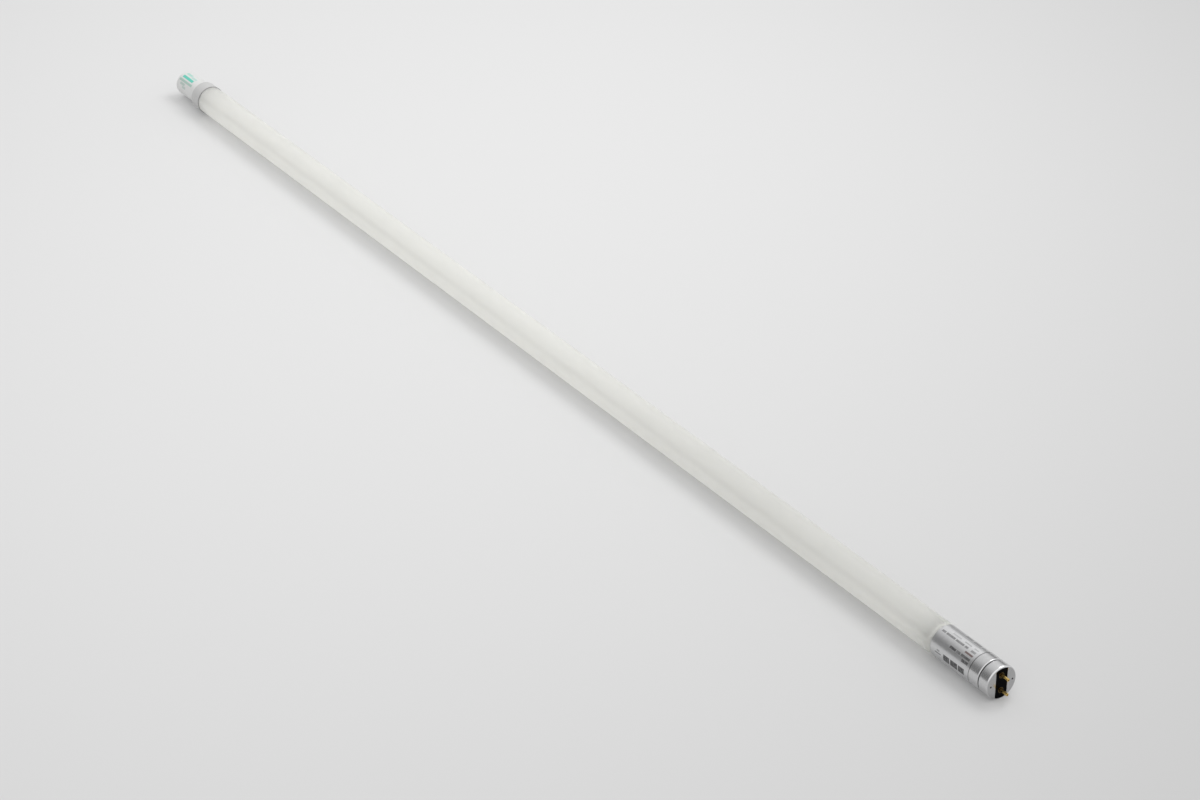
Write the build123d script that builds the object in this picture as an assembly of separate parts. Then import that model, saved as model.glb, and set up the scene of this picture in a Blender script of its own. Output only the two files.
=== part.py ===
from build123d import *
from math import sqrt
import os

# A straight led tube of the 1200 mm class, lying on its side, in millimetres.
# X runs along the tube, +X at the end with bare pins. Z is up and the table is at Z = 0.
# Every piece is drawn about the tube's axis with the near cap's face at X = 0, and is
# moved to the table at the end. A depth is a distance inwards from the face of a cap.
# The boards and all that they carry are drawn on the -Y side of the tube, and then turned
# half a turn about its axis to the +Y side.

# Overall sizes
face_to_face = 1198.0
glass_diameter = 26.4
glass_wall = 0.8
near_cap_length = 21.6
far_cap_length = 14.9

# Cap shells, drawn from aluminium sheet
cap_sheet = 0.3
cap_corner = 1.5
groove_depth_from_face = 10.5
groove_radius = 0.7
groove_sink = 0.8
groove_lip = 0.3
slot_width = 10.6
slot_rim = 1.1
slot_lip_height = 1.3
slot_bend = 0.5
dimple_inset = 2.15
dimple_radius = 0.7
dimple_depth = 0.8

# Insulator moulding behind each face
insulator_fit = 0.15
insulator_plate = 2.6
insulator_skirt = 2.5
skirt_wall = 1.4
strip_recess = 0.5
strip_edge = 0.2
lip_fit = 0.1
boss_diameter = 5.6
boss_length = 3.5
boss_web = 1.4

# Contact pins, drawn hollow from brass
pin_spacing = 12.7
pin_diameter = 2.35
pin_reach = 7.1
pin_bore = 1.1
pin_tip_edge = 0.35
pin_shoulder = 0.2
shoulder_depth = 0.3
pin_tail = 1.5
flange_diameter = 4.6
flange_disc = 0.35
flange_rim_width = 0.35
flange_rim_height = 0.4
flange_proud = 0.05
flange_holes = 4
flange_hole_radius = 0.22

# Glass seating, adhesive rings and label
glass_end_gap = 0.2
glass_end_edge = 0.25
cement_gap = 0.15
cement_setback = 0.8
cement_start = 1.2
label_gap = 0.3
label_length = 43.0
label_thickness = 0.1
label_opening = 2.0

# Cover over the far pins
cover_diameter = 22.6
cover_length = 35.2
cover_wall = 1.2
cover_edge = 1.8
socket_wall = 1.1
socket_fit = 0.05
socket_setback = 0.8
socket_web = 1.2

# Led board along the glass, on the side away from its light
board_width = 11.0
board_thickness = 1.0
board_overlap = 4.0
board_end_gap = 18.0
board_fit = 0.1
bed_width = 9.0
led_count = 96
led_margin = 7.0
led_length = 3.5
led_width = 2.8
led_height = 0.7
led_corner = 0.6

# Driver board and its sleeve
sleeve_fit = 0.25
sleeve_wall = 0.3
sleeve_start_gap = 0.6
sleeve_setback = 5.0
driver_setback = 2.5
driver_chord = 0.723
driver_thickness = 1.2
driver_fit = 0.1
lead_trim = 0.9
hole_fit = 0.1

# Wires
wire_diameter = 1.6
conductor_diameter = 0.9
wire_landing_setback = 2.5
wire_bend = 2.4
wire_strip = 1.2
wire_trim_share = 0.6
wire_tip_gap = 2.0
link_tail_gap = 4.1
link_bend = 3.0

# Parts on the driver board: depth is from the board's near end, z is across the tube
fuse = dict(depth=10.4, z=5.2, pitch=12.7, length=8.5, diameter=3.2, lead_radius=0.3, stand_off=0.4)
varistor = dict(depth=6.5, z=-3.2, diameter=7.5, thickness=3.6, pitch=5.0, lead_radius=0.3, stand_off=0.8)
bridge = dict(
    depth=12.8, z=-3.6, length=4.7, width=4.0, height=2.3,
    legs=2, leg_pitch=2.54, leg_width=0.7, leg_reach=1.3, leg_sheet=0.2,
)
film = dict(depth=23.2, z=4.2, length=10.3, width=5.0, height=8.5, pitch=7.5, lead_radius=0.3, edge=0.5)
drum = dict(depth=21.5, z=-3.7, diameter=6.4, height=7.5, flange=0.9, core=2.8, sink=0.4, lead_radius=0.3)
bulk = dict(
    base=31.0, z=3.4, length=13.0, diameter=8.0, edge=0.5, bead=2.2,
    pitch=3.5, lead_radius=0.3, lead_reach=1.5, lead_cover=1.0,
)
chip = dict(
    depth=27.9, z=-4.2, length=4.9, width=3.9, height=1.5,
    legs=4, leg_pitch=1.27, leg_width=0.4, leg_reach=1.05, leg_sheet=0.2,
)
diode = dict(depth=38.5, z=-5.6, pitch=10.0, length=5.2, diameter=2.7, lead_radius=0.35, stand_off=0.4)
transformer = dict(
    depth=49.8, z=-2.6, length=9.6, width=9.6, thickness=3.4, leg=2.8, yoke=1.4,
    coil_fit=0.1, coil_wall=1.7, lead_radius=0.3,
)
output = dict(depth=49.5, z=5.3, length=9.0, diameter=5.0, edge=0.4, bead=1.6, pitch=2.0, lead_radius=0.25)
header = dict(setback=1.8, pitch=2.54, pin=0.64, length=2.5, room=4.4)

# Worked out from the sizes above
cap_bore = glass_diameter / 2 + cement_gap
cap_radius = cap_bore + cap_sheet
dimple_offset = cap_radius - cap_corner - dimple_inset
bump_radius = dimple_radius + cap_sheet / 2
glass_radius = glass_diameter / 2
glass_bore = glass_radius - glass_wall
pin_radius = pin_diameter / 2
pin_offset = pin_spacing / 2
shoulder_radius = pin_radius + pin_shoulder
skirt_end = cap_sheet + insulator_plate + insulator_skirt
near_glass_start = groove_depth_from_face + groove_radius + cap_sheet + glass_end_gap
driver_start = near_glass_start + driver_setback
driver_length = transformer["depth"] + transformer["length"] / 2 + header["room"]
driver_end = driver_start + driver_length
sleeve_end = driver_end - sleeve_setback
board_start = driver_end - board_overlap
wire_landing = driver_start + wire_landing_setback
far_glass_start = skirt_end + glass_end_gap
sleeve_radius = glass_bore - sleeve_fit
sleeve_bore = sleeve_radius - sleeve_wall
board_back = -sqrt((glass_bore - board_fit) ** 2 - (board_width / 2) ** 2)
board_front = board_back + board_thickness
driver_width = 2 * driver_chord * (sleeve_bore - driver_fit)
driver_back = -sqrt((sleeve_bore - driver_fit) ** 2 - (driver_width / 2) ** 2)
driver_top = driver_back + driver_thickness
wire_side = pin_offset + conductor_diameter / 2
wire_room = sqrt((sleeve_bore - driver_fit) ** 2 - wire_side**2) + driver_back
wire_trim = wire_trim_share * wire_room
tail_end = cap_sheet + insulator_plate + boss_length + pin_tail
wire_start = pin_reach - wire_tip_gap
link_reach = tail_end + link_tail_gap

to_far_end = Pos(-face_to_face, 0, 0) * Rot(0, 0, 180)
half_turn = Rot(180, 0, 0)
pieces = {}
inner = {}
driver_holes = []


def rod(radius, start, end):
    """Cylinder on the tube's axis between two depths."""
    return Pos(-(start + end) / 2, 0, 0) * Rot(0, 90, 0) * Cylinder(radius, end - start)


def ring(outer, inner, start, end):
    return rod(outer, start, end) - rod(inner, start, end)


def block(depths, heights, widths):
    """Box between two depths, two Y values and two Z values."""
    size = Box(depths[1] - depths[0], heights[1] - heights[0], widths[1] - widths[0])
    return Pos(-sum(depths) / 2, sum(heights) / 2, sum(widths) / 2) * size


def corners_at(face, radius, low, high):
    """Corners of a section that lie at this radius between two X values."""
    return [v for v in face.vertices() if abs(v.Y - radius) < 1e-6 and low < v.X < high]


# Cap shells

def cap_outline(radius, front, length, corner, groove, lip):
    """Half section of a cap filled to the axis, with the rolled groove where it has one."""
    outline = Pos(-(front + length) / 2, radius / 2) * Rectangle(length - front, radius)
    outline = fillet(corners_at(outline, radius, -length / 2, 1), corner)
    if groove:
        groove_centre = cap_radius - groove_sink + groove_radius
        outline -= Pos(-groove_depth_from_face, groove_centre) * Circle(groove)
        outline = fillet(corners_at(outline, radius, 0.1 - length, -corner - front - 0.1), lip)
    return outline


def slot_outline(width, radius):
    """Strip across a face whose ends follow a circle, seen along the axis."""
    return Plane.YZ * (Rectangle(width, 2 * radius) & Circle(radius))


def fold_outline():
    """Section of one folded edge of the slot: a round bend and the lip below it."""
    edge = slot_width / 2
    outer = Pos(-slot_lip_height / 2, edge + slot_bend / 2) * Rectangle(slot_lip_height, slot_bend)
    outer_corner = outer.vertices().sort_by(lambda v: v.X - v.Y)[-1]
    outer = fillet(outer_corner, slot_bend)
    inner_height = slot_lip_height - cap_sheet
    inner_width = slot_bend - cap_sheet
    inner_place = Pos(-cap_sheet - inner_height / 2, edge + cap_sheet + inner_width / 2)
    inner = inner_place * Rectangle(inner_height, inner_width)
    inner_corner = inner.vertices().sort_by(lambda v: v.X - v.Y)[-1]
    return outer - fillet(inner_corner, inner_width)


def dimple(radius, depth, start):
    """Cone pressed into a face, half as wide at its bottom."""
    return Pos(-start - depth / 2, 0, 0) * Rot(0, 90, 0) * Cone(radius / 2, radius, depth)


def cap_shell(length, grooved):
    outer_groove = groove_radius if grooved else 0
    inner_groove = groove_radius + cap_sheet if grooved else 0
    outer = cap_outline(cap_radius, 0, length, cap_corner, outer_groove, groove_lip + cap_sheet)
    inner = cap_outline(cap_bore, cap_sheet, length, cap_corner - cap_sheet, inner_groove, groove_lip)
    shell = revolve(outer - inner, Axis.X)

    # Slot for the strip, with both long edges folded inwards
    slot_radius = cap_radius - slot_rim
    fold_half = sqrt(slot_radius**2 - (slot_width / 2 + slot_bend) ** 2)
    fold_space = Plane.YZ * Rectangle(slot_width + 2 * slot_bend, 2 * fold_half)
    shell -= extrude(slot_outline(slot_width, slot_radius) + fold_space, cap_sheet * 2, both=True)
    fold = extrude(fold_outline(), fold_half, both=True)
    shell += fold + mirror(fold, Plane.XZ)

    # Two points where the face is punched into the moulding behind it
    for side in (-1, 1):
        punch = Pos(0, side * dimple_offset, 0)
        shell += punch * dimple(bump_radius, dimple_depth, cap_sheet)
        shell -= punch * dimple(dimple_radius, dimple_depth, 0)
    return shell


# Contact pins

def pin_outline(bore):
    """Half section of a pin along X, from its tail to its tip, with the dished flange."""
    rim_top = -strip_recess + flange_proud
    disc_top = rim_top - flange_rim_height
    pin_length = pin_reach + tail_end
    shaft = Pos((pin_reach - tail_end) / 2, pin_radius / 2) * Rectangle(pin_length, pin_radius)
    shaft = fillet(corners_at(shaft, pin_radius, 0, pin_reach + 1), pin_tip_edge)
    root_length = tail_end - shoulder_depth
    root_place = Pos(-(tail_end + shoulder_depth) / 2, shoulder_radius / 2)
    root = root_place * Rectangle(root_length, shoulder_radius)
    flange_radius = flange_diameter / 2
    disc = Pos(disc_top - flange_disc / 2, flange_radius / 2) * Rectangle(flange_disc, flange_radius)
    rim_middle = flange_radius - flange_rim_width / 2
    rim_length = flange_rim_height + flange_disc
    rim = Pos(rim_top - rim_length / 2, rim_middle) * Rectangle(rim_length, flange_rim_width)
    outline = shaft + root + disc + rim
    if bore:
        outline -= Pos(0, bore / 4) * Rectangle(2 * pin_length, bore / 2)
    return outline


def pin(side, bore):
    """Contact pin with holes through its flange, which the moulding fills to lock it."""
    body = revolve(pin_outline(bore), Axis.X)
    hole_circle = (shoulder_radius + flange_diameter / 2 - flange_rim_width) / 2
    hole = Pos(0, hole_circle, 0) * rod(flange_hole_radius, 0, skirt_end)
    for index in range(flange_holes):
        body -= Rot((index + 0.5) * 360 / flange_holes, 0, 0) * hole
    return Pos(0, 0, side * pin_offset) * body


# Insulator moulding

def insulator():
    radius = cap_bore - insulator_fit
    body = rod(radius, cap_sheet, skirt_end)
    front_edge = body.edges().filter_by(GeomType.CIRCLE).sort_by(Axis.X)[-1]
    body = fillet(front_edge, cap_corner - cap_sheet + insulator_fit)
    body -= rod(radius - skirt_wall, cap_sheet + insulator_plate, skirt_end)

    # Channel for the folded edges of the slot, and the strip that stands between them
    slot_radius = cap_radius - slot_rim
    channel_depth = slot_lip_height + lip_fit
    channel_width = slot_width + 2 * max(slot_bend, cap_sheet + lip_fit)
    body -= extrude(slot_outline(channel_width, slot_radius), -channel_depth)
    strip_outline = slot_outline(slot_width - 2 * lip_fit, slot_radius - lip_fit)
    strip = extrude(strip_outline, channel_depth - strip_recess)
    strip = fillet(strip.faces().sort_by(Axis.X)[-1].edges(), strip_edge)
    body += Pos(-channel_depth, 0, 0) * strip

    # Bosses round the pins, joined by a web
    boss_end = cap_sheet + insulator_plate + boss_length
    for side in (-1, 1):
        body += Pos(0, 0, side * pin_offset) * rod(boss_diameter / 2, cap_sheet + insulator_plate, boss_end)
    web_end = (cap_sheet + insulator_plate + boss_end) / 2
    body += block(
        (cap_sheet + insulator_plate, web_end), (-boss_web / 2, boss_web / 2), (-pin_offset, pin_offset)
    )
    for side in (-1, 1):
        body -= pin(side, 0)
        punch_room = dimple(bump_radius + lip_fit, dimple_depth + lip_fit, cap_sheet)
        body -= Pos(0, side * dimple_offset, 0) * punch_room
    return body


# Both ends

ends = (
    ("near", Pos(0, 0, 0), near_cap_length, True, near_glass_start),
    ("far", to_far_end, far_cap_length, False, far_glass_start),
)
for end_name, place, cap_length, grooved, glass_start in ends:
    pieces[end_name + "_cap_shell"] = place * cap_shell(cap_length, grooved)
    pieces[end_name + "_insulator"] = place * insulator()
    pieces[end_name + "_pin_upper"] = place * pin(1, pin_bore)
    pieces[end_name + "_pin_lower"] = place * pin(-1, pin_bore)
    cement_from = glass_start + cement_start
    cement_to = cap_length - cement_setback
    pieces[end_name + "_cap_cement"] = place * ring(cap_bore, glass_radius, cement_from, cement_to)


# Glass and label

glass = ring(glass_radius, glass_bore, near_glass_start, face_to_face - far_glass_start)
pieces["glass_tube"] = fillet(glass.edges().filter_by(GeomType.CIRCLE), glass_end_edge)

label_start = near_cap_length + label_gap
label_end = label_start + label_length
label = ring(glass_radius + label_thickness, glass_radius, label_start, label_end)
label -= block((label_start, label_end), (0, cap_radius), (-label_opening / 2, label_opening / 2))
pieces["rating_label"] = label


# Cover over the far pins, open towards the cap

cover_radius = cover_diameter / 2
cover = Pos(cover_length / 2, 0, 0) * Rot(0, 90, 0) * Cylinder(cover_radius, cover_length)
cover = fillet(cover.edges().filter_by(GeomType.CIRCLE).sort_by(Axis.X)[-1], cover_edge)
hollow_length = cover_length - cover_wall
hollow = Pos(hollow_length / 2, 0, 0) * Rot(0, 90, 0) * Cylinder(cover_radius - cover_wall, hollow_length)
hollow_edge = max(cover_edge - cover_wall, cover_wall / 3)
cover -= fillet(hollow.edges().filter_by(GeomType.CIRCLE).sort_by(Axis.X)[-1], hollow_edge)
socket_bore = pin_radius + socket_fit
socket_length = hollow_length - socket_setback
socket_middle = socket_setback + socket_length / 2
cover += Pos(socket_middle, 0, 0) * Box(socket_length, socket_web, pin_spacing)
for side in (-1, 1):
    socket_place = Pos(socket_middle, 0, side * pin_offset) * Rot(0, 90, 0)
    cover += socket_place * Cylinder(socket_bore + socket_wall, socket_length)
for side in (-1, 1):
    socket_place = Pos(socket_middle, 0, side * pin_offset) * Rot(0, 90, 0)
    cover -= socket_place * Cylinder(socket_bore, socket_length)
pieces["pin_cover"] = to_far_end * cover


# Led board, its bed on the glass and the light packages

board_end = face_to_face - board_end_gap
board_depths = (board_start, board_end)
board_sides = (-board_width / 2, board_width / 2)
inner["led_board"] = block(board_depths, (board_back, board_front), board_sides)
bed_space = block(board_depths, (-glass_radius, board_back), (-bed_width / 2, bed_width / 2))
inner["board_adhesive"] = rod(glass_bore, board_start, board_end) & bed_space

led_outline = Rectangle(led_length, led_width)
led_outline = chamfer(led_outline.vertices().sort_by(Axis.X)[-1], led_corner)
led_body = extrude(Plane.XZ * led_outline, -led_height)
led_pitch = (board_end - board_start - 2 * led_margin) / (led_count - 1)
first_led = -board_start - led_margin
leds = [Pos(first_led - index * led_pitch, board_front, 0) * led_body for index in range(led_count)]
inner["leds"] = Compound(children=leds)


# Driver sleeve and wires

sleeve_start = near_glass_start + sleeve_start_gap
inner["driver_sleeve"] = ring(sleeve_radius, sleeve_bore, sleeve_start, sleeve_end)


def wire(path, radius):
    start = path @ 0
    section = Plane(origin=start, z_dir=path % 0) * Circle(radius)
    return sweep(section, path=path)


def near_lead(side):
    """Wire from the bore of a near pin to the driver board, stripped at both ends."""
    z = side * pin_offset
    conductor = wire(
        FilletPolyline(
            (wire_start, 0, z), (-wire_landing, 0, z), (-wire_landing, driver_back - wire_trim, z),
            radius=wire_bend,
        ),
        conductor_diameter / 2,
    )
    jacket = wire(
        FilletPolyline(
            (-tail_end - wire_strip, 0, z),
            (-wire_landing, 0, z),
            (-wire_landing, driver_top + wire_strip, z),
            radius=wire_bend,
        ),
        wire_diameter / 2,
    )
    driver_holes.append((wire_landing, z, conductor_diameter / 2))
    return conductor + jacket


inner["near_lead_upper"] = near_lead(-1)
inner["near_lead_lower"] = near_lead(1)

link_path = FilletPolyline(
    (wire_start, 0, pin_offset), (-link_reach, 0, pin_offset),
    (-link_reach, 0, -pin_offset), (wire_start, 0, -pin_offset),
    radius=link_bend,
)
pieces["far_pin_link"] = to_far_end * wire(link_path, conductor_diameter / 2)


# Parts on the driver board, which stand on driver_top

def straight_lead(depth, z, top, radius):
    """Lead from a part down through the board, with its hole noted."""
    driver_holes.append((driver_start + depth, z, radius))
    length = top - (driver_back - lead_trim)
    place = Pos(-driver_start - depth, top - length / 2, z)
    return place * Rot(90, 0, 0) * Cylinder(radius, length)


def axial_part(depth, z, pitch, length, diameter, lead_radius, stand_off):
    """Body lying along the tube with a lead bent down at each end."""
    middle = driver_start + depth
    axis_y = driver_top + stand_off + diameter / 2
    body = Pos(-middle, axis_y, z) * Rot(0, 90, 0) * Cylinder(diameter / 2, length)
    body = fillet(body.edges().filter_by(GeomType.CIRCLE), diameter / 8)
    near, far = middle - pitch / 2, middle + pitch / 2
    bottom = driver_back - lead_trim
    leads = FilletPolyline(
        (-near, bottom, z), (-near, axis_y, z), (-far, axis_y, z), (-far, bottom, z),
        radius=2 * lead_radius,
    )
    driver_holes.append((near, z, lead_radius))
    driver_holes.append((far, z, lead_radius))
    return body + wire(leads, lead_radius)


def disc_part(depth, z, diameter, thickness, pitch, lead_radius, stand_off):
    """Coated disc that stands across the tube on two leads."""
    centre_y = driver_top + stand_off + diameter / 2
    body = Pos(-driver_start - depth, centre_y, z) * Rot(0, 90, 0) * Cylinder(diameter / 2, thickness)
    body = fillet(body.edges().filter_by(GeomType.CIRCLE), thickness / 3)
    for side in (-1, 1):
        body += straight_lead(depth, z + side * pitch / 2, centre_y, lead_radius)
    return body


def box_part(depth, z, length, width, height, pitch, lead_radius, edge):
    """Potted box that sits on the board on two leads set along the tube."""
    body = Pos(-driver_start - depth, driver_top + height / 2, z) * Box(length, height, width)
    body = fillet(body.edges().filter_by(Axis.Y), edge)
    for side in (-1, 1):
        body += straight_lead(depth + side * pitch / 2, z, driver_top, lead_radius)
    return body


def flat_pack(depth, z, length, width, height, legs, leg_pitch, leg_width, leg_reach, leg_sheet):
    """Moulded package lying on the board with bent legs along both sides."""
    middle = -driver_start - depth
    shoulder = driver_top + leg_sheet + height / 2
    body = Pos(middle, shoulder, z) * Box(length, height, width)
    body = chamfer(body.faces().sort_by(Axis.Y)[-1].edges(), height / 8)
    foot = driver_top + leg_sheet / 2
    for index in range(legs):
        x = middle + (index - (legs - 1) / 2) * leg_pitch
        across = Plane(origin=(x, 0, 0), x_dir=(0, 0, 1), z_dir=(-1, 0, 0))
        for side in (-1, 1):
            root = z + side * (width / 2 - leg_sheet)
            knee = z + side * (width / 2 + leg_reach / 2)
            toe = z + side * (width / 2 + leg_reach)
            line = Polyline((root, shoulder), (knee, shoulder), (knee, foot), (toe, foot))
            body += across * extrude(trace(line, leg_sheet), leg_width / 2, both=True)
    return body


def can(length, diameter, edge, bead):
    """Rolled can along X with its base at X = 0 and a bead rolled in near the base."""
    radius = diameter / 2
    outline = Pos(length / 2, radius / 2) * Rectangle(length, radius)
    outline = fillet(corners_at(outline, radius, -1, length + 1), edge)
    outline -= Pos(bead, radius + edge / 2) * Circle(edge)
    return revolve(outline, Axis.X)


def drum_choke(depth, z, diameter, height, flange, core, sink, lead_radius):
    """Drum of ferrite on two leads, and the winding between its flanges."""
    place = Pos(-driver_start - depth, driver_top + height / 2, z) * Rot(90, 0, 0)
    waist_height = height - 2 * flange
    waist = Cylinder(diameter / 2, waist_height) - Cylinder(core / 2, waist_height)
    body = place * (Cylinder(diameter / 2, height) - waist)
    for side in (-1, 1):
        body += straight_lead(depth + side * core / 2, z, driver_top, lead_radius)
    winding = Cylinder(diameter / 2 - sink, waist_height) - Cylinder(core / 2, waist_height)
    return body, place * winding


def lying_can(base, z, length, diameter, edge, bead, pitch, lead_radius, lead_reach, lead_cover):
    """Capacitor lying along the tube with its leads bent into the board."""
    base_x = -driver_start - base
    axis_y = driver_top + diameter / 2
    body = Pos(base_x, axis_y, z) * Rot(0, 180, 0) * can(length, diameter, edge, bead)
    bend_x = base_x + lead_reach
    for side in (-1, 1):
        lead_z = z + side * pitch / 2
        bent = FilletPolyline(
            (base_x - lead_cover, axis_y, lead_z), (bend_x, axis_y, lead_z),
            (bend_x, driver_back - lead_trim, lead_z),
            radius=3 * lead_radius,
        )
        body += wire(bent, lead_radius)
        driver_holes.append((-bend_x, lead_z, lead_radius))
    return body


def standing_can(depth, z, length, diameter, edge, bead, pitch, lead_radius):
    body = Pos(-driver_start - depth, driver_top, z) * Rot(0, 0, 90) * can(length, diameter, edge, bead)
    for side in (-1, 1):
        body += straight_lead(depth + side * pitch / 2, z, driver_top, lead_radius)
    return body


def window_transformer(
    depth, z, length, width, thickness, leg, yoke, coil_fit, coil_wall, lead_radius
):
    """Closed core with two windows, and the winding round its middle leg."""
    window_length = length - 2 * yoke
    window_width = (width - leg) / 2 - yoke
    coil_height = thickness + 2 * (coil_fit + coil_wall)
    coil_width = leg + 2 * (coil_fit + coil_wall)
    place = Pos(-driver_start - depth, driver_top + coil_height / 2, z)
    core = Box(length, thickness, width)
    for side in (-1, 1):
        window = Box(window_length, thickness, window_width)
        core -= Pos(0, 0, side * (leg + window_width) / 2) * window
    coil = Box(window_length - 2 * coil_fit, coil_height, coil_width)
    coil = fillet(coil.edges().filter_by(Axis.X), coil_wall / 2)
    coil -= Box(length, thickness + 2 * coil_fit, leg + 2 * coil_fit)
    coil = place * coil
    for side in (-1, 1):
        for end_side in (-1, 1):
            lead_depth = depth + end_side * window_length / 3
            lead_top = driver_top + coil_wall / 2
            coil += straight_lead(lead_depth, z + side * leg / 2, lead_top, lead_radius)
    return place * core, coil


def board_header(setback, pitch, pin, length, room):
    """Plug between the driver board and the led board, in the room left at the board's end."""
    depth = driver_end - setback
    pin_depths = (depth - pin / 2, depth + pin / 2)
    pin_heights = (board_front, driver_top + lead_trim)
    body = block(
        (depth - length / 2, depth + length / 2), (board_front, driver_back), (-pitch, pitch)
    )
    pins = []
    for side in (-1, 1):
        pin_z = side * pitch / 2
        post = block(pin_depths, pin_heights, (pin_z - pin / 2, pin_z + pin / 2))
        body -= post
        pins.append(post)
        driver_holes.append((depth, pin_z, pin / sqrt(2)))
    return body, Compound(children=pins)


# Mains side of the driver
inner["fuse"] = axial_part(**fuse)
inner["varistor"] = disc_part(**varistor)
inner["bridge_rectifier"] = flat_pack(**bridge)
inner["film_capacitor"] = box_part(**film)
inner["filter_core"], inner["filter_winding"] = drum_choke(**drum)
inner["bulk_capacitor"] = lying_can(**bulk)

# Output side of the driver
inner["driver_chip"] = flat_pack(**chip)
inner["output_diode"] = axial_part(**diode)
inner["transformer_core"], inner["transformer_winding"] = window_transformer(**transformer)
inner["output_capacitor"] = standing_can(**output)
inner["header_body"], inner["header_pins"] = board_header(**header)

# Driver board, drilled for every lead above
driver_board = block(
    (driver_start, driver_end), (driver_back, driver_top), (-driver_width / 2, driver_width / 2)
)
for depth, z, radius in driver_holes:
    drill = Pos(-depth, (driver_back + driver_top) / 2, z) * Rot(90, 0, 0)
    driver_board -= drill * Cylinder(radius + hole_fit, 2 * driver_thickness)
inner["driver_board"] = driver_board


# Lay the tube on the table, with the middle of its whole length at X = 0

whole_length = pin_reach + face_to_face + cover_length
to_table = Pos(whole_length / 2 - pin_reach, 0, cap_radius)
os.makedirs("parts", exist_ok=True)
for name, piece in inner.items():
    pieces[name] = half_turn * piece
for name, piece in pieces.items():
    export_step(to_table * piece, f"parts/{name}.step")
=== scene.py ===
import bpy
import numpy as np
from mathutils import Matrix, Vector


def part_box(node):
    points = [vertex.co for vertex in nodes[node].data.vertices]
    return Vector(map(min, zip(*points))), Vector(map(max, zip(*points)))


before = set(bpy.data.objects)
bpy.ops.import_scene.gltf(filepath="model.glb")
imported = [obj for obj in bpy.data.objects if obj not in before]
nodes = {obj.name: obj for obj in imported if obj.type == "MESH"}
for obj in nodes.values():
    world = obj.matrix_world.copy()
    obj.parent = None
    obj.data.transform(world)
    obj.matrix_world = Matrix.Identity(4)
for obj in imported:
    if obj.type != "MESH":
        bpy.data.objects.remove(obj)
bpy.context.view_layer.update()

# Places along the tube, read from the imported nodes, in metres
tubeLow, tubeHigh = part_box("glass_tube")
axisHeight = (tubeLow.z + tubeHigh.z) / 2
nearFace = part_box("near_cap_shell")[1].x
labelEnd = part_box("rating_label")[0].x

# Turns round the tube are counted from its front side, which looks up and towards -Y
frontTurn = np.radians(134.0)
frontSine, frontCosine = float(np.sin(frontTurn)), float(np.cos(frontTurn))
degreesPerRadian = 57.2958
mmPerMetre = 1000.0
noiseLow, noiseHigh = 0.3, 0.7  # nearly all of a noise lies between these
darkest = (0.0, 0.0, 0.0)


# Wraps a socket, so that Python's own signs add Math nodes
class Socket:
    def __init__(self, maker, socket):
        self.maker, self.socket = maker, socket

    def maths(self, operation, other=None):
        return self.maker.node("ShaderNodeMath", dict(operation=operation), self, other)

    def __add__(self, other):
        return self.maths("ADD", other)

    def __mul__(self, other):
        return self.maths("MULTIPLY", other)

    def __sub__(self, other):
        return self.maths("SUBTRACT", other)

    def __rsub__(self, other):
        return self.maker.node("ShaderNodeMath", dict(operation="SUBTRACT"), other, self)

    __radd__, __rmul__ = __add__, __mul__

    def most(self, other):
        return self.maths("MAXIMUM", other)

    # runs smoothly from start to end as this value runs from low to high
    def ramp(self, low, high, start=0.0, end=1.0):
        smooth = dict(interpolation_type="SMOOTHSTEP")
        return self.maker.node("ShaderNodeMapRange", smooth, self, low, high, start, end)

    # 1 between low and high, with soft edges
    def band(self, low, high, soft):
        return self.ramp(low - soft, low + soft) * self.ramp(high - soft, high + soft, 1.0, 0.0)

    # makes a noise run from so much below a middle value to so much above it
    def wander(self, middle, below, above):
        return self.ramp(noiseLow, noiseHigh, middle - below, middle + above)


# Makes the nodes of one tree
class Maker:
    def __init__(self, tree):
        self.tree = tree

    def join(self, value, socket):
        if isinstance(value, Socket):
            self.tree.links.new(value.socket, socket)
        elif value is not None:
            if socket.type == "RGBA" and len(value) == 3:  # a colour gets its alpha
                value = (*value, 1.0)
            socket.default_value = value

    def node(self, kind, settings=None, *values, out=0, **named):
        made = self.tree.nodes.new(kind)
        for name, value in (settings or {}).items():
            setattr(made, name, value)
        for socket, value in zip(made.inputs, values):
            self.join(value, socket)
        for name, value in named.items():
            self.join(value, made.inputs[name])
        return Socket(self, made.outputs[out])

    # the three parts of a vector
    def split(self, vector):
        parts = self.node("ShaderNodeSeparateXYZ", None, vector).socket.node
        return [Socket(self, socket) for socket in parts.outputs]

    def place(self):
        return self.node("ShaderNodeTexCoord", None, out="Object")

    def noise(self, vector, scale, detail, stretch=None):
        if stretch:
            vector = self.node("ShaderNodeVectorMath", dict(operation="MULTIPLY"), vector, stretch)
        return self.node("ShaderNodeTexNoise", None, Vector=vector, Scale=scale, Detail=detail)

    # mixes two colours; a Mix node takes them in its seventh and eighth inputs and gives the third output
    def blend(self, factor, first, second):
        made = self.tree.nodes.new("ShaderNodeMix")
        made.data_type = "RGBA"
        for index, value in ((0, factor), (6, first), (7, second)):
            self.join(value, made.inputs[index])
        return Socket(self, made.outputs[2])

    # a colour that runs between a darker and a lighter tone of itself
    def shades(self, factor, colour, tones):
        darker, lighter = [[min(1.0, part * tone) for part in colour] for tone in tones]
        return self.blend(factor, darker, lighter)

    # plain print bars: depths in mm, degrees and strength of each, and how soft the two kinds of edge are
    def bars(self, depth, turn, rows, edges):
        mask = None
        for start, end, low, high, strength in rows:
            bar = depth.band(start, end, edges[0]) * turn.band(low, high, edges[1]) * strength
            mask = bar if mask is None else mask.most(bar)
        return mask


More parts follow.
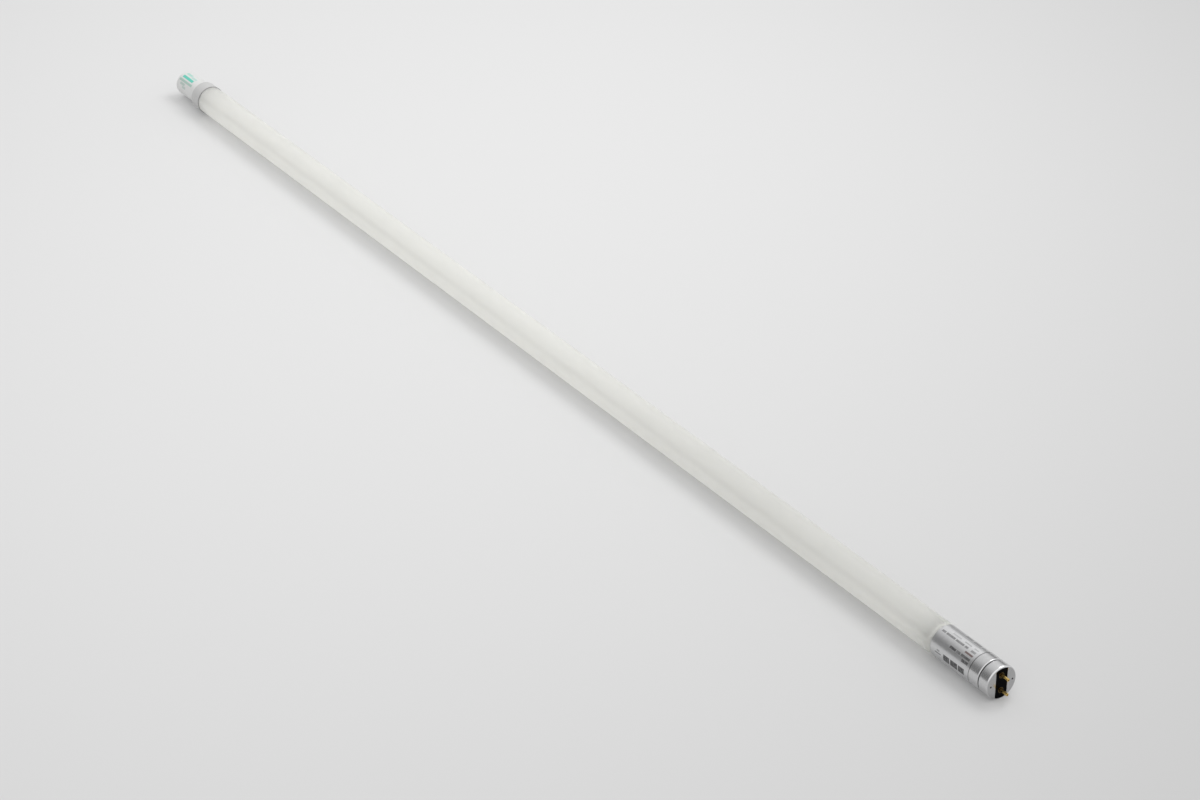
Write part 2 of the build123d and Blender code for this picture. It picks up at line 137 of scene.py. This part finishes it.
# One material round a Principled shader
class Finish(Maker):
    def __init__(self, name, **constants):
        self.material = bpy.data.materials.new(name)
        self.material.use_nodes = True
        super().__init__(self.material.node_tree)
        self.shader = self.tree.nodes["Principled BSDF"]
        self.put(**constants)

    # baseColor means the socket called Base Color
    def put(self, **values):
        for label, value in values.items():
            words = "".join(" " + c if c.isupper() else c for c in label).title().replace("Ior", "IOR")
            self.join(value, self.shader.inputs[words])

    # a height's bumps: how high they are in metres, and their strength
    def bump(self, height, distance, strength):
        self.put(normal=self.node("ShaderNodeBump", None, Strength=strength, Distance=distance, Height=height))

    # mixes so much of another shader with the Principled one
    def mixIn(self, factor, other):
        own = Socket(self, self.shader.outputs[0])
        mixed = self.node("ShaderNodeMixShader", None, factor, own, other)
        self.join(mixed, self.tree.nodes["Material Output"].inputs["Surface"])


# How far a point lies behind the near cap's face, in mm
def depthOf(x):
    return (nearFace - x) * mmPerMetre


# How many degrees a point lies above the front side: the arctangent of how far it is off the line from
# the axis to that side, over how far along that line it is
def turnOf(y, z):
    level = z - axisHeight
    off = y * frontSine - level * frontCosine
    along = y * frontCosine + level * frontSine
    return off.maths("ARCTAN2", along) * degreesPerRadian


def paint(finish, *names):
    for name in names:
        if not nodes[name].data.materials:
            nodes[name].data.materials.append(finish.material)
        for slot in nodes[name].material_slots:
            slot.link = "OBJECT"
            slot.material = finish.material


def addObject(name, data):
    made = bpy.data.objects.new(name, data)
    bpy.context.scene.collection.objects.link(made)
    return made


# Camera, looking down along the tube from its bare end
view = dict(
    target=(0.11762, -0.01192, 0.01365), azimuth=55.97, elevation=30.06, distance=2.7864,
    lens=102.27, sensor=36.0, farthest=80.0,
)
print("placing the camera")
cameraData = bpy.data.cameras.new("camera")
cameraData.lens = view["lens"]
cameraData.sensor_width = view["sensor"]
cameraData.sensor_fit = "HORIZONTAL"
cameraData.clip_end = view["farthest"]
camera = addObject("camera", cameraData)
azimuth, elevation = np.radians(view["azimuth"]), np.radians(view["elevation"])
back = Vector((np.sin(azimuth) * np.cos(elevation), -np.cos(azimuth) * np.cos(elevation), np.sin(elevation)))
camera.location = Vector(view["target"]) + back * view["distance"]
camera.rotation_euler = back.to_track_quat("Z", "Y").to_euler()
bpy.context.scene.camera = camera
bpy.context.scene.view_settings.view_transform = "Standard"

# Frosted glass, coated milky inside, so light spreads through the wall
# In all these looks a noise has its scale, detail and stretch, and a rough of three numbers its middle
# value and how far it goes below and above
glassLook = dict(
    cool=(0.95, 0.953, 0.94), warm=(0.965, 0.965, 0.952), through=(0.998, 0.998, 0.989), share=0.81,
    gloss=0.3, rough=(0.34, 0.04, 0.05), mottle=(60.0, 3.0, (0.25, 1.0, 1.0)),
    # painted shade towards the near cap, and a painted dark streak along the front
    shade=0.80, shadeStart=0.15, shadeEnd=0.60, paintedStreak=(-25.0, -8.0, 8.0), paintedStreakStrength=0.16,
)
print("making the glass")
glass = Finish("frostedGlass", specularIorLevel=glassLook["gloss"])
whole = glass.place()
x, y, z = glass.split(whole)
mottle = glass.noise(whole, *glassLook["mottle"])
# painted shade: darker towards the near cap, where the driver inside shades the glass, and one painted dark
# streak of shade along the front
shade = x.ramp(labelEnd - glassLook["shadeEnd"], labelEnd - glassLook["shadeStart"], 1.0, glassLook["shade"])
shade = shade * (1.0 - turnOf(y, z).band(*glassLook["paintedStreak"]) * glassLook["paintedStreakStrength"])
milk = glass.blend(mottle, glassLook["cool"], glassLook["warm"])
glass.put(baseColor=glass.blend(shade, darkest, milk), roughness=mottle.wander(*glassLook["rough"]))
glass.mixIn(glassLook["share"], glass.node("ShaderNodeBsdfTranslucent", None, glassLook["through"]))
paint(glass, "glass_tube")

# Drawn aluminium, finely turned round the cap and a little cloudy. Depths are in mm, and the two punched
# points have their place and edge in metres
nearCapLook = dict(
    base=(0.66, 0.66, 0.665), tones=(0.92, 1.08), metal=1.0, bump=(0.00001, 0.4),
    lines=(1800.0, 2.0, (1.0, 0.03, 0.03)), cloud=(220.0, 3.0), cloudShare=0.5,
    rough=0.14, roughLines=0.10, roughCloud=0.08,
    face=0.70, faceDepth=(0.1, 0.5),  # the face's colour is darker
    # painted shade in the groove, at the cut edge and in the two punched points: its colour, bands and
    # softness
    soil=(0.03, 0.03, 0.032), paintedShadeBands=[(9.9, 11.05, 0.95), (21.0, 21.7, 0.80)], paintedShadeSoft=0.12,
    pitOffset=0.0100, pitEdge=(0.0006, 0.0009), pitDepth=(1.5, 1.6),
)
farCapLook = dict(
    nearCapLook, base=(0.56, 0.56, 0.555), metal=0.10, rough=0.61, roughLines=0.06, face=1.0,
    # painted shade on the far cap's rim, next to the glass
    soil=(0.08, 0.08, 0.08), paintedShadeBands=[(1183.0, 1184.0, 0.62)], pitEdge=(0.000496, 0.000744),
)
print("making the cap metal")
for name, look in (("near_cap_shell", nearCapLook), ("far_cap_shell", farCapLook)):
    made = Finish(name + "Metal", metallic=look["metal"])
    whole = made.place()
    x, y, z = made.split(whole)
    depth = depthOf(x)
    lines = made.noise(whole, *look["lines"])
    cloud = made.noise(whole, *look["cloud"])
    # painted shade in the two punched points, in the groove and at the cut edge
    side = y.maths("ABSOLUTE") - look["pitOffset"]
    level = z - axisHeight
    away = (side * side + level * level).maths("SQRT")
    soil = away.ramp(*look["pitEdge"], 1.0, 0.0) * depth.ramp(*look["pitDepth"], 1.0, 0.0)
    for start, end, much in look["paintedShadeBands"]:
        soil = soil.most(depth.band(start, end, look["paintedShadeSoft"]) * much)
    pattern = lines * (1.0 - look["cloudShare"]) + cloud * look["cloudShare"]
    metalColour = made.shades(pattern, look["base"], look["tones"])
    metalColour = made.blend(depth.ramp(*look["faceDepth"], look["face"], 1.0), darkest, metalColour)
    made.put(baseColor=made.blend(soil, metalColour, look["soil"]))
    made.put(roughness=lines * look["roughLines"] + cloud * look["roughCloud"] + look["rough"])
    made.bump(lines, *look["bump"])
    paint(made, name)

# Foil label with plain print bars along the tube
labelLook = dict(
    base=(0.68, 0.682, 0.688), tones=(0.93, 1.06), grain=(700.0, 2.0), bump=(0.00001, 0.3),
    rough=0.25, roughGrain=0.10, roughInk=0.20,
    ink=(0.020, 0.020, 0.022), inkWear=(0.2, 0.6, 0.72, 1.0), rust=(0.10, 0.055, 0.05), edges=(0.18, 0.9),
    inkBars=[
        (26.5, 33.0, -61, -39, 0.95), (34.0, 42.0, -61, -39, 0.95), (43.0, 50.0, -61, -39, 0.95),
        (52.5, 59.5, -50, -46.5, 0.85), (54.5, 57.5, -42, -36, 0.50),
        (24.7, 34.5, -8, 0.5, 0.92), (35.3, 39.5, -8, 0.5, 0.85), (40.3, 47.0, -8, 0.5, 0.95),
        (24.7, 31.7, -22, -12.5, 0.95),
        (25.0, 30.0, 21.0, 29.0, 0.62), (33.5, 37.0, 21.0, 29.0, 0.76), (38.0, 47.0, 21.0, 29.0, 0.72),
        (48.0, 57.5, 21.0, 29.0, 0.74), (58.5, 62.5, 21.0, 29.0, 0.70),
        (25.0, 30.0, 36.0, 41.5, 0.40), (33.0, 40.5, 36.0, 41.5, 0.48), (44.5, 54.0, 36.0, 41.5, 0.40),
        (25.5, 28.0, 60, 75, 0.62), (30.0, 37.5, 60, 75, 0.68), (39.5, 46.5, 60, 75, 0.68),
        (27.0, 61.0, 51, 58, 0.38),
    ],
    rustBars=[(24.7, 33.3, 8.0, 14.5, 0.92)],
)
print("making the label")
foil = Finish("labelFoil")
whole = foil.place()
x, y, z = foil.split(whole)
depth, turn = depthOf(x), turnOf(y, z)
grain = foil.noise(whole, *labelLook["grain"])
ink = foil.bars(depth, turn, labelLook["inkBars"], labelLook["edges"]) * grain.ramp(*labelLook["inkWear"])
rust = foil.bars(depth, turn, labelLook["rustBars"], labelLook["edges"])
silver = foil.shades(grain, labelLook["base"], labelLook["tones"])
foil.put(baseColor=foil.blend(rust, foil.blend(ink, silver, labelLook["ink"]), labelLook["rust"]))
foil.put(metallic=1.0 - ink.most(rust))
foil.put(roughness=grain * labelLook["roughGrain"] + ink * labelLook["roughInk"] + labelLook["rough"])
foil.bump(grain, *labelLook["bump"])
paint(foil, "rating_label")

# Black moulding of the insulators
blackLook = dict(
    base=(0.0012, 0.0012, 0.0014), gloss=0.02, rough=(0.30, 0.08, 0.08), speck=(1500.0, 2.0),
    bump=(0.00001, 0.3),
)
print("making the plastics")
black = Finish("blackMoulding", baseColor=blackLook["base"], specularIorLevel=blackLook["gloss"])
speck = black.noise(black.place(), *blackLook["speck"])
black.put(roughness=speck.wander(*blackLook["rough"]))
black.bump(speck, *blackLook["bump"])
paint(black, "near_insulator", "far_insulator")

# White cover with green print bars of two tones
coverLook = dict(
    base=(0.70, 0.705, 0.695), tones=(0.97, 1.02), mint=(0.10, 0.58, 0.46), sage=(0.28, 0.48, 0.40),
    rough=(0.48, 0.06, 0.06), speck=(400.0, 3.0), bump=(0.00002, 0.2), edges=(0.4, 1.5),
    mintBars=[
        (1209.5, 1228.5, 12, 27, 0.95), (1208.5, 1218.0, 32, 44, 0.38), (1219.0, 1228.5, 37, 51, 0.50),
    ],
    sageBars=[
        (1206.5, 1230.0, -8, 4, 0.70), (1217.5, 1226.0, -24, -12, 0.52), (1215.0, 1221.0, -38, -26, 0.45),
    ],
)
white = Finish("whiteMoulding")
whole = white.place()
x, y, z = white.split(whole)
depth, turn = depthOf(x), turnOf(y, z)
speck = white.noise(whole, *coverLook["speck"])
mint = white.bars(depth, turn, coverLook["mintBars"], coverLook["edges"])
sage = white.bars(depth, turn, coverLook["sageBars"], coverLook["edges"])
plain = white.shades(speck, coverLook["base"], coverLook["tones"])
white.put(baseColor=white.blend(mint, white.blend(sage, plain, coverLook["sage"]), coverLook["mint"]))
white.put(roughness=speck.wander(*coverLook["rough"]))
white.bump(speck, *coverLook["bump"])
paint(white, "pin_cover")

# Brass pins, bright on the shaft, with painted shade at the flange and the roots by the face
brassLook = dict(
    bright=(0.80, 0.58, 0.20), dull=(0.46, 0.31, 0.10), stain=(700.0, 3.0), stainEdge=(0.3, 0.75),
    # painted shade at the flange and roots: its colour and the depths it runs over
    rootShade=(0.13, 0.085, 0.03), rootShadeDepth=(-0.3, 0.2), rough=(0.24, 0.06, 0.12),
)
brass = Finish("contactBrass", metallic=1.0)
whole = brass.place()
stain = brass.noise(whole, *brassLook["stain"])
shaft = brass.blend(stain.ramp(*brassLook["stainEdge"]), brassLook["bright"], brassLook["dull"])
depth = depthOf(brass.split(whole)[0])
# painted shade at the flange and the pin roots, behind the face
brass.put(baseColor=brass.blend(depth.ramp(*brassLook["rootShadeDepth"]), shaft, brassLook["rootShade"]))
brass.put(roughness=stain.wander(*brassLook["rough"]))
paint(brass, "near_pin_upper", "near_pin_lower", "far_pin_upper", "far_pin_lower")

# Parts inside, each with its own finish: colour, roughness, metal and scale of its grain
insideLooks = dict(
    near_cap_cement=((0.50, 0.50, 0.47), 0.65, 0.0, 300.0),
    far_cap_cement=((0.50, 0.50, 0.47), 0.65, 0.0, 300.0),
    led_board=((0.80, 0.80, 0.78), 0.40, 0.0, 200.0),
    board_adhesive=((0.72, 0.72, 0.70), 0.60, 0.0, 250.0),
    leds=((0.85, 0.70, 0.22), 0.35, 0.0, 900.0),
    driver_board=((0.05, 0.22, 0.09), 0.35, 0.0, 500.0),
    driver_sleeve=((0.75, 0.75, 0.72), 0.30, 0.0, 150.0),
    near_lead_upper=((0.72, 0.72, 0.70), 0.50, 0.0, 400.0),
    near_lead_lower=((0.12, 0.12, 0.12), 0.50, 0.0, 400.0),
    far_pin_link=((0.72, 0.70, 0.66), 0.30, 1.0, 600.0),
    fuse=((0.62, 0.52, 0.34), 0.40, 0.0, 500.0),
    varistor=((0.04, 0.11, 0.42), 0.30, 0.0, 500.0),
    bridge_rectifier=((0.03, 0.03, 0.03), 0.50, 0.0, 900.0),
    film_capacitor=((0.72, 0.55, 0.08), 0.35, 0.0, 300.0),
    filter_core=((0.06, 0.06, 0.06), 0.60, 0.0, 700.0),
    filter_winding=((0.48, 0.20, 0.07), 0.35, 0.6, 900.0),
    bulk_capacitor=((0.03, 0.03, 0.06), 0.30, 0.0, 300.0),
    driver_chip=((0.03, 0.03, 0.03), 0.50, 0.0, 900.0),
    output_diode=((0.04, 0.04, 0.04), 0.45, 0.0, 700.0),
    transformer_core=((0.06, 0.06, 0.06), 0.60, 0.0, 700.0),
    transformer_winding=((0.70, 0.55, 0.12), 0.40, 0.0, 500.0),
    output_capacitor=((0.03, 0.05, 0.14), 0.30, 0.0, 300.0),
    header_body=((0.03, 0.03, 0.03), 0.45, 0.0, 700.0),
    header_pins=((0.72, 0.62, 0.40), 0.30, 1.0, 700.0),
)
insideTones, insideSpread, insideDetail = (0.85, 1.1), (0.06, 0.08), 3.0
print("making the finishes inside")
for name, (colour, rough, metal, scale) in insideLooks.items():
    made = Finish(name + "Finish", metallic=metal)
    grain = made.noise(made.place(), scale, insideDetail)
    made.put(baseColor=made.shades(grain, colour, insideTones), roughness=grain.wander(rough, *insideSpread))
    paint(made, name)

# Pale paper floor, with a painted falloff of light: a little darker away from its lightest place, as seen by
# the camera
floorLook = dict(
    half=20.0, tone=0.701, rough=0.9, gloss=0.1, glow=0.18, glowStrength=1.12,
    centre=(-0.27, 0.42), across=0.31, away=0.088, most=0.32,
)
print("making the floor and lights")
half = floorLook["half"]
corners = [(-half, -half, 0), (half, -half, 0), (half, half, 0), (-half, half, 0)]
floorMesh = bpy.data.meshes.new("floor")
floorMesh.from_pydata(corners, [], [(0, 1, 2, 3)])
floor = addObject("floor", floorMesh)
paper = Finish("paper", roughness=floorLook["rough"], specularIorLevel=floorLook["gloss"])
x, y = paper.split(paper.place())[:2]
rightX, rightY = float(np.cos(azimuth)), float(np.sin(azimuth))  # the way to the right in the picture
across = x * rightX + y * rightY - floorLook["centre"][0]
away = y * rightX - x * rightY - floorLook["centre"][1]
# painted falloff of light, growing away from the lightest place
paintedFalloff = across * across * floorLook["across"] + away * away * floorLook["away"]
paintedFalloff = paper.node("ShaderNodeMath", dict(operation="SMOOTH_MIN"), paintedFalloff, floorLook["most"], floorLook["most"])
tone = paper.blend(paintedFalloff, (floorLook["tone"],) * 3, darkest)
paper.put(baseColor=tone)
# part of the paper's own tone, for the camera and in metal and glass, which keeps the shadow light
rays = paper.node("ShaderNodeLightPath").socket.node.outputs
cameraRay, glossyRay, throughRay = [
    Socket(paper, rays["Is " + kind + " Ray"]) for kind in ("Camera", "Glossy", "Transmission")
]
seen = cameraRay.most(glossyRay).most(throughRay) * floorLook["glow"]
paper.mixIn(seen, paper.node("ShaderNodeEmission", None, tone, floorLook["glowStrength"]))
floorMesh.materials.append(paper.material)

# Sky: dark low in the west, brighter there upwards and northwards, and light all over the east
skyLook = dict(
    dark=0.22, bright=0.78, lean=0.6, lift=(-0.05, 0.95), horizon=(0.10, 0.5),
    east=0.89, eastRise=0.35, eastEdge=(-0.55, -0.10),
)
world = bpy.data.worlds.new("softSky")
bpy.context.scene.world = world
world.use_nodes = True
sky = Maker(world.node_tree)
east, north, up = sky.split(sky.node("ShaderNodeTexCoord", None, out="Generated"))
lift = (up + north * skyLook["lean"]).ramp(*skyLook["lift"]) * up.ramp(*skyLook["horizon"])
strength = lift * (skyLook["bright"] - skyLook["dark"]) + skyLook["dark"]
strength = strength.most(east.ramp(*skyLook["eastEdge"]) * (up * skyLook["eastRise"] + skyLook["east"]))
background = world.node_tree.nodes["Background"]
sky.join(strength, background.inputs["Strength"])
sky.join((1.0, 1.0, 1.0), background.inputs["Color"])

# Square key lamp behind the tube
keyLook = dict(place=(0.10, 1.02, 1.66), aim=(0.0, 0.0, 0.0), size=0.88, radiance=4.0)
wattsPerRadiance = 4.0  # for each square metre of a lamp
keyData = bpy.data.lights.new("key", "AREA")
keyData.energy = keyLook["radiance"] * wattsPerRadiance * keyLook["size"] ** 2
keyData.size = keyLook["size"]
keyLamp = addObject("key", keyData)
keyLamp.location = keyLook["place"]
keyLamp.rotation_euler = (Vector(keyLook["place"]) - Vector(keyLook["aim"])).to_track_quat("Z", "Y").to_euler()
keyLamp.visible_camera = False
